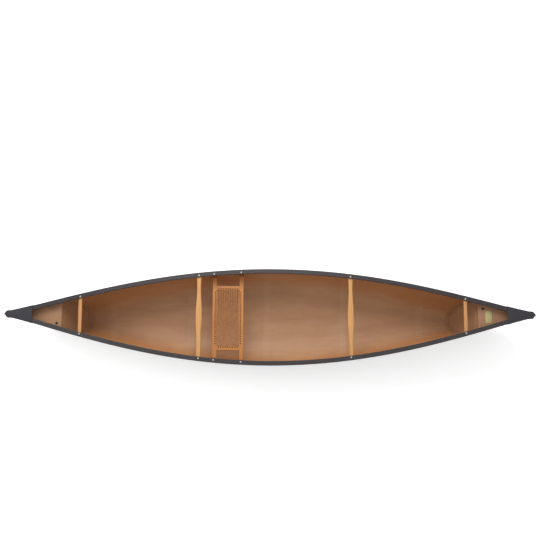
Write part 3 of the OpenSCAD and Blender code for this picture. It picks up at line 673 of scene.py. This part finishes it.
def makeTank(name, end):
    path = tankPath()
    last = len(path) - 1
    halves = [breadthAt(x, z, -lines["wall"]) - tank["sideClear"] for x, z in path]
    bm = bmesh.new()

    def place(s, t):
        i = round(s * last)
        x, z = path[i]
        return Vector((end * x, end * (2 * t - 1) * halves[i], z))

    mappedGrid(bm, last, tank["across"], place)
    # A bonding bead where the moulding meets the hull
    bead = tank["bead"]
    edge = [Vector((x, h - bead * 0.35, z + bead * 0.2)) for (x, z), h in zip(path, halves)]
    rim = edge + [Vector((p.x, -p.y, p.z)) for p in reversed(edge)]

    def beadPlace(s, t):
        i = round(s * (len(rim) - 1))
        ahead = rim[min(len(rim) - 1, i + 1)] - rim[max(0, i - 1)]
        across = ahead.cross(Vector((0, 0, 1))).normalized()
        up = across.cross(ahead).normalized()
        a = 2 * math.pi * t
        p = rim[i] + (across * math.cos(a) + up * math.sin(a)) * bead
        return Vector((end * p.x, end * p.y, p.z))

    mappedGrid(bm, len(rim) - 1, 10, beadPlace)
    # The flange that laps onto the hull floor in front of the face
    reach, steps = tank["flangeReach"], tank["flangeSteps"]
    laps = [footU(reach * (2 * i / steps - 1)) for i in range(steps + 1)]

    def flangePlace(s, t):
        k = reach * (2 * s - 1)
        away = tank["flangeWide"] * t * math.cos(math.pi / 2 * k) ** 0.5
        thick = tank["sideClear"] + tank["flangeThick"] * min(1.0, (1 - t) * 6)
        p = skinPoint(laps[round(s * steps)] - away + 0.001, k, -lines["wall"] - thick)
        return Vector((end * p.x, end * p.y, p.z))

    mappedGrid(bm, steps, 12, flangePlace)
    finishPiece(name + "Moulding", bm, [finishes["tank"]], "canoe", [name], normals=False)


makeTank("bow_tank", 1)
makeTank("stern_tank", -1)
print("tanks made")

# Thwarts and carry handles
thwartSize = {"middle": 0.057, "waist": 0.035, "end": 0.042, "thick": 0.019}
handleSize = {"middle": 0.033, "waist": 0.031, "end": 0.032, "thick": 0.020}
bars = {
    "bow_thwart": (0.755, thwartSize, "thwart"),
    "stern_thwart": (-0.666, thwartSize, "thwart"),
    "bow_handle": (1.800, handleSize, "handle"),
    "stern_handle": (-1.750, handleSize, "handle"),
}
bar = {"waistAt": 0.7, "clear": 0.0026, "cuts": 47, "sideRound": 0.0055, "tipRound": 0.002}


def makeBar(name, x0, size, finish):
    thick, waistAt = size["thick"], bar["waistAt"]
    reach = gunwaleY(x0) - lines["wallOut"] - lines["wall"] - bar["clear"]
    bm = bmesh.new()
    bmesh.ops.create_cube(bm, size=1.0)
    long = [e for e in bm.edges if abs(e.verts[0].co.y - e.verts[1].co.y) > 0.5]
    bmesh.ops.subdivide_edges(bm, edges=long, cuts=bar["cuts"], use_grid_fill=True)
    for v in bm.verts:
        s = abs(v.co.y) * 2
        if s < waistAt:
            width = mix(size["middle"], size["waist"], math.sin(math.pi / 2 * s / waistAt) ** 2)
        else:
            past = (s - waistAt) / (1 - waistAt)
            width = mix(size["waist"], size["end"], math.sin(math.pi / 2 * past) ** 2)
        dx = v.co.x * width
        # The ends follow the slant of the gunwales
        trim = gunwaleY(x0 + dx) - gunwaleY(x0) if s > 0.999 else 0.0
        v.co = Vector((dx, math.copysign(s * reach + trim, v.co.y), (v.co.z - 0.5) * thick))
    sides = [e for e in bm.edges if abs(e.verts[0].co.y - e.verts[1].co.y) > 0.004
             and abs(e.verts[0].co.z - e.verts[1].co.z) < 1e-6 and len(e.link_faces) == 2
             and e.calc_face_angle(0) > 1.0]
    bmesh.ops.bevel(bm, geom=sides, offset=bar["sideRound"], segments=5, affect="EDGES", profile=0.5,
                    material=-1)
    tips = [e for e in bm.edges if len(e.link_faces) == 2 and e.calc_face_angle(0) > 1.0]
    bmesh.ops.bevel(bm, geom=tips, offset=bar["tipRound"], segments=2, affect="EDGES", profile=0.5,
                    material=-1)
    bm.transform(Matrix.Translation((x0, 0, sheerZ(x0))) @ Matrix.Rotation(-sheerAngle(x0), 4, "Y")
                 @ Matrix.Translation((0, 0, -gunwale["lip"] - gap)))
    piece = finishPiece(name + "Bar", bm, [finishes[finish]], "canoe", [name])
    sharpByAngle(piece, 45)


for barName, (barX, barSize, barFinish) in bars.items():
    makeBar(barName, barX, barSize, barFinish)
print("thwarts and handles made")


# Seat frame: copies of the drilled rails and the drop blocks with eased edges
seat = {
    "x": -0.3995, "railGap": 0.255, "drop": 0.100, "railWidth": 0.038, "frame": 0.614, "crossRail": 0.041,
    "railEase": 0.003, "crossEase": 0.0025, "blockEase": 0.002, "shortest": 0.0125,
}


def easedCopy(node, material, radius):
    bm = bmesh.new()
    bm.from_mesh(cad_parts[node].data)
    bmesh.ops.remove_doubles(bm, verts=bm.verts, dist=0.00002)
    bmesh.ops.dissolve_limit(bm, angle_limit=math.radians(1.0), verts=bm.verts, edges=bm.edges)
    # The short edges belong to the drilled holes, which stay sharp
    sharp = [e for e in bm.edges if len(e.link_faces) == 2 and e.calc_length() > seat["shortest"]
             and e.calc_face_angle(0) > 1.0]
    bmesh.ops.bevel(bm, geom=sharp, offset=radius, segments=3, affect="EDGES", profile=0.5, material=-1,
                    clamp_overlap=True)
    piece = finishPiece(node + "Eased", bm, [material], "canoe", [node])
    sharpByAngle(piece, 35)


for railName in ("seat_front_rail", "seat_rear_rail"):
    easedCopy(railName, finishes["rail"], seat["railEase"])
for railName in ("seat_port_rail", "seat_starboard_rail"):
    easedCopy(railName, finishes["crossRail"], seat["crossEase"])
for spot in ("front_port", "front_starboard", "rear_port", "rear_starboard"):
    easedCopy("seat_" + spot + "_block", finishes["block"], seat["blockEase"])
wearFinish(finishes["handle"], "seat_dowels")
print("seat frame made")

# Woven cane: paired strands across the boat and short straps from the holes of the long rails, crossed by
# two sets of diagonals
cane = {
    "pitch": 0.022, "margin": 0.012, "pairGap": 0.0019, "straight": 0.0014, "diagonal": 0.0017,
    "thick": 0.0006, "weave": 0.0005, "columns": 4, "rows": 11, "dive": 0.003, "paintedHoleShade": 0.0058,
    "level": 0.0014, "step": 0.0055, "fade": 0.012, "over": 0.0014, "strapHeight": 0.0009, "slope": 0.5,
}
frontX = seat["x"] + seat["railGap"] / 2
rearX = seat["x"] - seat["railGap"] / 2
seatZ = (sheerZ(frontX) + sheerZ(rearX)) / 2 - seat["drop"]
seatTilt = math.atan((sheerZ(rearX) - sheerZ(frontX)) / seat["railGap"])
openX = (seat["railGap"] - seat["railWidth"]) / 2
openY = seat["frame"] / 2 - seat["crossRail"]
edgeX = openX + cane["margin"]
edgeY = openY + cane["margin"]


def caneStrand(bm, start, stop, halfWidth, height, wavelength=cane["pitch"], phase=0.0):
    # A flat strand that waves over and under its neighbours and dives at both ends
    start, stop = Vector((*start, 0)), Vector((*stop, 0))
    length = (stop - start).length
    ahead = (stop - start).normalized()
    across = Vector((-ahead.y, ahead.x, 0))

    def place(s, t):
        p = start.lerp(stop, s) + across * (halfWidth * (2 * t - 1))
        lift = cane["weave"] * math.sin(2 * math.pi * (s * length / wavelength) + phase)
        fade = min(1.0, min(s, 1 - s) * length / cane["fade"])
        return Vector((p.x, p.y, cane["level"] + (height + lift) * fade - cane["dive"] * (1 - fade) ** 2))

    mappedGrid(bm, max(2, round(length / cane["step"])), 1, place)


def makeCane():
    bm = bmesh.new()
    pitch, columns, rows = cane["pitch"], cane["columns"], cane["rows"]
    # Pairs that run across the boat and part at each end towards two holes
    inside = openY - 0.005
    for i in range(-columns - 1, columns + 1):
        for k in (-1, 1):
            x = (i + 0.5) * pitch + k * cane["pairGap"]
            caneStrand(bm, (x, -inside), (x, inside), cane["straight"], 0.0003 * k, phase=i + k)
            hole = max(-columns, min(columns, i + (k + 1) // 2)) * pitch
            for end in (1, -1):
                caneStrand(bm, (x, end * (inside - 0.004)), (hole, end * (edgeY - 0.003)),
                           cane["straight"], cane["strapHeight"])
    # Two sets of slanting strands, which leave staggered openings between the pairs
    reachX, reachY = openX + 0.006, openY + 0.006
    for slope in (cane["slope"], -cane["slope"]):
        for n in range(-rows - columns, rows + columns + 1):
            ends = sorted(((-reachY - n * pitch) / slope, (reachY - n * pitch) / slope))
            lowX, highX = max(-reachX, ends[0]), min(reachX, ends[1])
            if highX - lowX > 0.012:
                caneStrand(bm, (lowX, slope * lowX + n * pitch), (highX, slope * highX + n * pitch),
                           cane["diagonal"], cane["over"] * slope, pitch * math.hypot(2, 1))
    # A short strap from each hole of the long rails, and over every hole a near-black disc: painted shade
    # for the hole's shadowed opening
    spots = [(end * edgeX, j * pitch) for end in (1, -1) for j in range(-rows, rows + 1)]
    for x, y in spots:
        side = math.copysign(1, x)
        caneStrand(bm, (x - side * 0.003, y), (side * (openX - 0.006), y), cane["straight"], 0.0008)
    spots += [(i * pitch, end * edgeY) for end in (1, -1) for i in range(-columns, columns + 1)]
    for x, y in spots:
        made = bmesh.ops.create_circle(bm, cap_ends=True, segments=20, radius=cane["paintedHoleShade"],
                                       matrix=Matrix.Translation((x, y, 0.0005)))["verts"]
        for f in {f for v in made for f in v.link_faces}:
            f.material_index = 1
    bm.transform(Matrix.Translation((seat["x"], 0, seatZ)) @ Matrix.Rotation(seatTilt, 4, "Y"))
    piece = finishPiece("seatCaneWeave", bm, [finishes["cane"], finishes["paintedHoleShade"]], "canoe",
                        ["seat_cane"], merge=0.000001, normals=False)
    thick = piece.modifiers.new("thickness", "SOLIDIFY")
    thick.thickness = cane["thick"]
    thick.offset = 0


makeCane()
print("cane made")

# Grab loops, hung from the tubes through the stems
loop = {"back": 0.066, "below": 0.022, "droop": 30.0, "diameter": 0.0055, "braid": 0.006}
# Half the route in the loop's own plane, in millimetres forward of the tube and out to the side
loopRoute = [(0, 0.3), (0, 8), (0, 16), (2, 21), (6, 25), (12, 27.5), (20, 28), (32, 27), (46, 25),
             (58, 23.5), (68, 22.5), (76, 20.5), (83, 16), (87, 8.5), (88.5, 0)]
loopX = lines["halfLength"] - loop["back"]
loopZ = sheerZ(loopX) - deck["skirt"] - loop["below"]


def makeLoop(name, end):
    flat = [Vector((p / 1000, y / 1000, 0)) for p, y in loopRoute]
    flat += [Vector((p.x, -p.y, 0)) for p in reversed(flat[:-1])]
    droop = Matrix.Rotation(math.radians(loop["droop"]) * end, 4, "Y")
    turn = Matrix.Translation((end * loopX, 0, loopZ)) @ droop
    route = [turn @ Vector((end * p.x, end * p.y, p.z)) for p in flat]
    path = spline(route, 4)
    count = len(path) - 1
    normal = turn.to_3x3() @ Vector((0, 0, 1))
    bm = bmesh.new()

    def place(s, t):
        i = round(s * count)
        ahead = (path[min(count, i + 1)] - path[max(0, i - 1)]).normalized()
        across = ahead.cross(normal).normalized()
        a = 2 * math.pi * t
        return path[i] + (across * math.cos(a) + normal * math.sin(a)) * loop["diameter"] / 2

    length = sum((b - a).length for a, b in zip(path, path[1:]))
    mappedGrid(bm, count, 16, place, 0, (length / loop["braid"], 2.0))
    bmesh.ops.remove_doubles(bm, verts=bm.verts, dist=0.00001)
    closeHoles(bm)
    piece = finishPiece(name + "Cord", bm, [finishes["cord"]], name.replace("_loop", "_grab_loop"),
                        [name])


makeLoop("bow_loop", 1)
makeLoop("stern_loop", -1)
wearFinish(finishes["tube"], "bow_loop_tube", "stern_loop_tube")
print("grab loops made")

# Skid plates: thin leaf-shaped skins over the forefoot
skid = {"from": 0.515, "to": 0.905, "thick": 0.003, "width": 0.30, "point": 0.55, "taper": 0.02}


def makeSkid(name, end):
    bm = bmesh.new()

    def place(s, t):
        u = mix(skid["from"], skid["to"], s)
        leaf = math.sin(math.pi * min(1.0, s * 1.5 + 0.015) / 2) ** skid["point"]
        k = (2 * t - 1) * skid["width"] * leaf
        edge = 1 - abs(2 * t - 1) ** 8
        ends = min(1.0, s / skid["taper"], (1 - s) / skid["taper"])
        p = skinPoint(u, k, gap + skid["thick"] * edge * ends)
        return Vector((end * p.x, end * p.y, p.z))

    mappedGrid(bm, 110, 24, place)
    finishPiece(name + "Skin", bm, [finishes["skid"]], "canoe", [name], normals=False)


makeSkid("bow_skid_plate", 1)
makeSkid("stern_skid_plate", -1)
print("skid plates made")

# Vent plugs, turned on a lathe
plug = {"back": 0.470, "side": 0.071, "stem": 0.014, "head": 0.023}


def makePlug(name, end):
    x = lines["halfLength"] - plug["back"]
    head, stem = plug["head"] / 2, plug["stem"] / 2
    profile = [(0.0, 0.0082), (0.0035, 0.0082), (0.0042, 0.0078), (0.0052, 0.0046), (0.0075, 0.0040),
               (head - 0.0016, 0.0040), (head - 0.0004, 0.0034), (head, 0.0022), (head, 0.0007),
               (head - 0.0006, 0.0003), (stem, 0.0003), (stem, -0.0105), (stem - 0.001, -0.012),
               (stem - 0.0025, -0.012), (stem - 0.0025, -0.001), (0.0, -0.001)]
    bm = bmesh.new()
    verts = [bm.verts.new((a, 0, z)) for a, z in profile]
    edges = [bm.edges.new(pair) for pair in zip(verts, verts[1:])]
    bmesh.ops.spin(bm, geom=verts + edges, cent=(0, 0, 0), axis=(0, 0, 1), angle=2 * math.pi, steps=40,
                   use_merge=True, use_duplicate=False)
    tilt = Matrix.Rotation(-math.radians(tank["lift"]), 4, "Y")
    place = Matrix.Translation((x, plug["side"], lidZ(x))) @ tilt
    # The stern plug is the bow plug turned round with its tank
    bm.transform(Matrix.Rotation(math.pi if end < 0 else 0, 4, "Z") @ place)
    piece = finishPiece(name + "Turned", bm, [finishes["plug"]], name.replace("_vent", ""),
                        [name])
    sharpByAngle(piece, 50)


makePlug("bow_vent_plug", 1)
makePlug("stern_vent_plug", -1)

# Blank plate on the bow lid
plate = {
    "back": 0.420, "side": -0.005, "wide": 0.058, "long": 0.117, "thick": 0.0012, "round": 0.021,
    "ease": 0.0004,
}


def makePlate():
    bm = bmesh.new()
    bmesh.ops.create_cube(bm, size=1.0)
    bm.transform(Matrix.Diagonal((plate["wide"], plate["long"], plate["thick"], 1)))
    upright = [e for e in bm.edges if abs(e.verts[0].co.z - e.verts[1].co.z) > 0.0008]
    bmesh.ops.bevel(bm, geom=upright, offset=plate["round"], segments=10, affect="EDGES", profile=0.5,
                    material=-1)
    rim = [e for e in bm.edges if e.calc_face_angle(0) > 1.0]
    bmesh.ops.bevel(bm, geom=rim, offset=plate["ease"], segments=2, affect="EDGES", profile=0.5, material=-1)
    x = lines["halfLength"] - plate["back"]
    tilt = Matrix.Rotation(-math.radians(tank["lift"]), 4, "Y")
    bm.transform(Matrix.Translation((x, plate["side"], lidZ(x))) @ tilt
                 @ Matrix.Translation((0, 0, gap + plate["thick"] / 2)))
    piece = finishPiece("blankPlateFilm", bm, [finishes["plate"]], "canoe", ["blank_plate"],
                        merge=0.000005)
    sharpByAngle(piece, 45)


makePlate()
wearFinish(finishes["steel"], *[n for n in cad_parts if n.endswith(("_bolts", "_washers", "_nuts"))])
wearFinish(finishes["rivet"], *[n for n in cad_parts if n.endswith("_rivets")])
print("fittings made")

# Floor, light and camera
studio = {
    "distance": 6.8, "tilt": 6.5, "lens": 45.6, "shiftY": 0.0868, "roll": 0.0026, "lookZ": 0.40,
    "floorSize": 30, "floorDrop": 0.0005, "floorGlow": 0.4, "skyLight": 0.74, "skySeen": 1.0, "aimZ": 0.3,
}
lamps = {
    "key": {"at": (-0.6, 3.9, 4.2), "power": 210, "size": 3.0},
    "side": {"at": (-4.5, 0.8, 2.6), "power": 40, "size": 2.0},
}


def makeStudio():
    bm = bmesh.new()
    bmesh.ops.create_grid(bm, x_segments=2, y_segments=2, size=studio["floorSize"])
    mesh = bpy.data.meshes.new("studioFloor")
    bm.to_mesh(mesh)
    bm.free()
    floor = bpy.data.objects.new("studioFloor", mesh)
    bpy.context.scene.collection.objects.link(floor)
    m, nodes, links, shader, coords = newMaterial("floorPaper", (0.93, 0.93, 0.93), 0.9)
    soft = noise(nodes, links, mapped(nodes, links, coords, (1, 1, 1)), 0.4, 2.0)
    links.new(ramp(nodes, links, soft, [(0.3, (0.92, 0.92, 0.92)), (0.7, (0.94, 0.94, 0.94))]),
              shader.inputs["Base Color"])
    shader.inputs["Emission Color"].default_value = (1, 1, 1, 1)
    shader.inputs["Emission Strength"].default_value = studio["floorGlow"]
    floor.data.materials.append(m)
    floor.location.z = -studio["floorDrop"]
    world = bpy.data.worlds.new("studioWorld")
    bpy.context.scene.world = world
    world.use_nodes = True
    sky = world.node_tree.nodes["Background"]
    sky.inputs["Color"].default_value = (1, 1, 1, 1)
    # The sky is seen as plain white, but lights the boat less than that
    nodes, links = world.node_tree.nodes, world.node_tree.links
    seen = nodes.new("ShaderNodeLightPath").outputs["Is Camera Ray"]
    links.new(remap(nodes, links, seen, studio["skyLight"], studio["skySeen"]), sky.inputs["Strength"])
    for name, settings in lamps.items():
        lamp = bpy.data.lights.new(name, "AREA")
        lamp.energy = settings["power"]
        lamp.size = settings["size"]
        holder = bpy.data.objects.new(name, lamp)
        bpy.context.scene.collection.objects.link(holder)
        holder.location = settings["at"]
        aim = Vector((0, 0, studio["aimZ"])) - Vector(settings["at"])
        holder.rotation_euler = aim.to_track_quat("-Z", "Y").to_euler()


def makeCamera():
    data = bpy.data.cameras.new("camera")
    data.lens = studio["lens"]
    data.shift_y = studio["shiftY"]
    holder = bpy.data.objects.new("camera", data)
    bpy.context.scene.collection.objects.link(holder)
    tilt = math.radians(studio["tilt"])
    back = studio["distance"] - studio["lookZ"]
    holder.location = (0, -back * math.sin(tilt), studio["lookZ"] + back * math.cos(tilt))
    holder.rotation_euler = (tilt, 0, 0)
    holder.rotation_euler.rotate_axis("Z", studio["roll"])
    bpy.context.scene.camera = holder
    bpy.context.scene.view_settings.view_transform = "Standard"


makeStudio()
makeCamera()
print("studio made")
